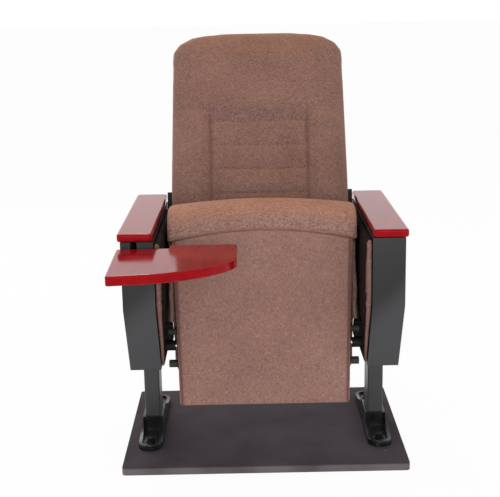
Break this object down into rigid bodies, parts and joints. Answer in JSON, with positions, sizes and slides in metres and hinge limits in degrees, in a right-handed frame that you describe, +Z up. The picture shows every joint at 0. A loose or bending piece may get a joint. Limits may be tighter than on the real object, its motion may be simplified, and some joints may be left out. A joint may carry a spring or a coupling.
{
  "type": "tip up auditorium seat",
  "caption": "Upholstered auditorium seat that tips up between two boxed standards on a floor board, with a writing tablet that folds out of one arm.",
  "frame": {"origin": "centre of the base board's underside, on the floor", "axes": "+Z up, +X towards the right-hand standard as seen from the front, -Y the way the sitter looks"},
  "size_m": [0.681, 0.8145, 1.0051],
  "materials": {
    "woven_fabric": "heathered brown mauve weave, matt",
    "red_lacquer": "deep red lacquer, high gloss",
    "satin_cover_paint": "dark grey satin powder coat",
    "dark_laminate": "dark grey laminate, satin",
    "column_paint": "dark grey semi-gloss paint",
    "black_enamel_casting": "black gloss enamel",
    "charcoal_mat": "board covered in a charcoal mat with faint specks",
    "plywood": "bare plywood",
    "black_painted_steel": "black satin paint",
    "bright_steel": "bright zinc plate",
    "buffer_rubber": "olive grey rubber, matt",
    "back_shell_plastic": "black moulded shell, fine grain"
  },
  "bodies": {
    "frame": {"base_board": "charcoal_mat", "foot_left": "black_enamel_casting", "foot_right": "black_enamel_casting", "anchor_bolt_front_left": "black_painted_steel", "anchor_bolt_front_right": "black_painted_steel", "anchor_bolt_rear_left": "black_painted_steel", "anchor_bolt_rear_right": "black_painted_steel", "leg_column_left": "column_paint", "leg_column_right": "column_paint", "front_cover_left": "satin_cover_paint", "front_cover_right": "satin_cover_paint", "inner_side_board_left": "dark_laminate", "inner_side_board_right": "dark_laminate", "outer_side_board_left": "dark_laminate", "outer_side_board_right": "dark_laminate", "inner_side_pad_left": "woven_fabric", "inner_side_pad_right": "woven_fabric", "edge_rail_front_left": "plywood", "edge_rail_front_right": "plywood", "edge_rail_rear_left": "plywood", "edge_rail_rear_right": "plywood", "armrest_right": "red_lacquer", "pivot_bracket_left": "black_painted_steel", "pivot_bracket_right": "black_painted_steel", "pivot_pin_left": "bright_steel", "pivot_pin_right": "bright_steel", "return_spring_left": "bright_steel", "return_spring_right": "bright_steel", "back_board": "plywood", "back_shell": "back_shell_plastic", "back_cushion": "woven_fabric", "back_bracket_left": "black_painted_steel", "back_bracket_right": "black_painted_steel", "back_bolt_lower_left": "bright_steel", "back_bolt_lower_right": "bright_steel", "back_bolt_upper_left": "bright_steel", "back_bolt_upper_right": "bright_steel", "tablet_arm_bearing": "black_painted_steel", "tablet_arm_pin": "bright_steel", "lid_fixed_leaf": "black_painted_steel", "lid_hinge_pin": "bright_steel"},
    "seat": {"seat_hinge_plate_left": "black_painted_steel", "seat_hinge_plate_right": "black_painted_steel", "stop_buffer_left": "buffer_rubber", "stop_buffer_right": "buffer_rubber", "rest_buffer_left": "buffer_rubber", "rest_buffer_right": "buffer_rubber", "seat_side_rail_left": "plywood", "seat_side_rail_right": "plywood", "seat_cross_tube": "black_painted_steel", "seat_board": "plywood", "seat_front_rail": "plywood", "seat_underside_panel": "woven_fabric", "seat_cushion": "woven_fabric"},
    "tablet_arm": {"tablet_arm": "black_painted_steel"},
    "tablet": {"tablet_board": "red_lacquer", "tablet_hinge": "black_painted_steel"},
    "armrest_lid": {"armrest_lid_left": "red_lacquer", "lid_moving_leaf": "black_painted_steel"}
  },
  "joints": [
    {"name": "seat_tip", "type": "hinge", "parent": "frame", "child": "seat", "pos_m": [0, -0.195, 0.303], "axis": [1, 0, 0], "range_deg": [0, 87], "stiffness_Nm_per_rad": 6, "springref_deg": -17.19},
    {"name": "tablet_arm_swing", "type": "hinge", "parent": "frame", "child": "tablet_arm", "pos_m": [-0.282, -0.288, 0.567], "axis": [-1, 0, 0], "range_deg": [0, 90]},
    {"name": "tablet_flip", "type": "hinge", "parent": "tablet_arm", "child": "tablet", "pos_m": [-0.282, -0.44, 0.5385], "axis": [0, -1, 0], "range_deg": [0, 157]},
    {"name": "armrest_lid_lift", "type": "hinge", "parent": "frame", "child": "armrest_lid", "pos_m": [-0.282, 0.166, 0.5814], "axis": [-1, 0, 0], "range_deg": [0, 68]}
  ],
  "couplings": [
    {"joint": "tablet_flip", "follows": "seat_tip", "ratio": 1.8},
    {"joint": "armrest_lid_lift", "follows": "tablet_arm_swing", "ratio": 0.75}
  ]
}
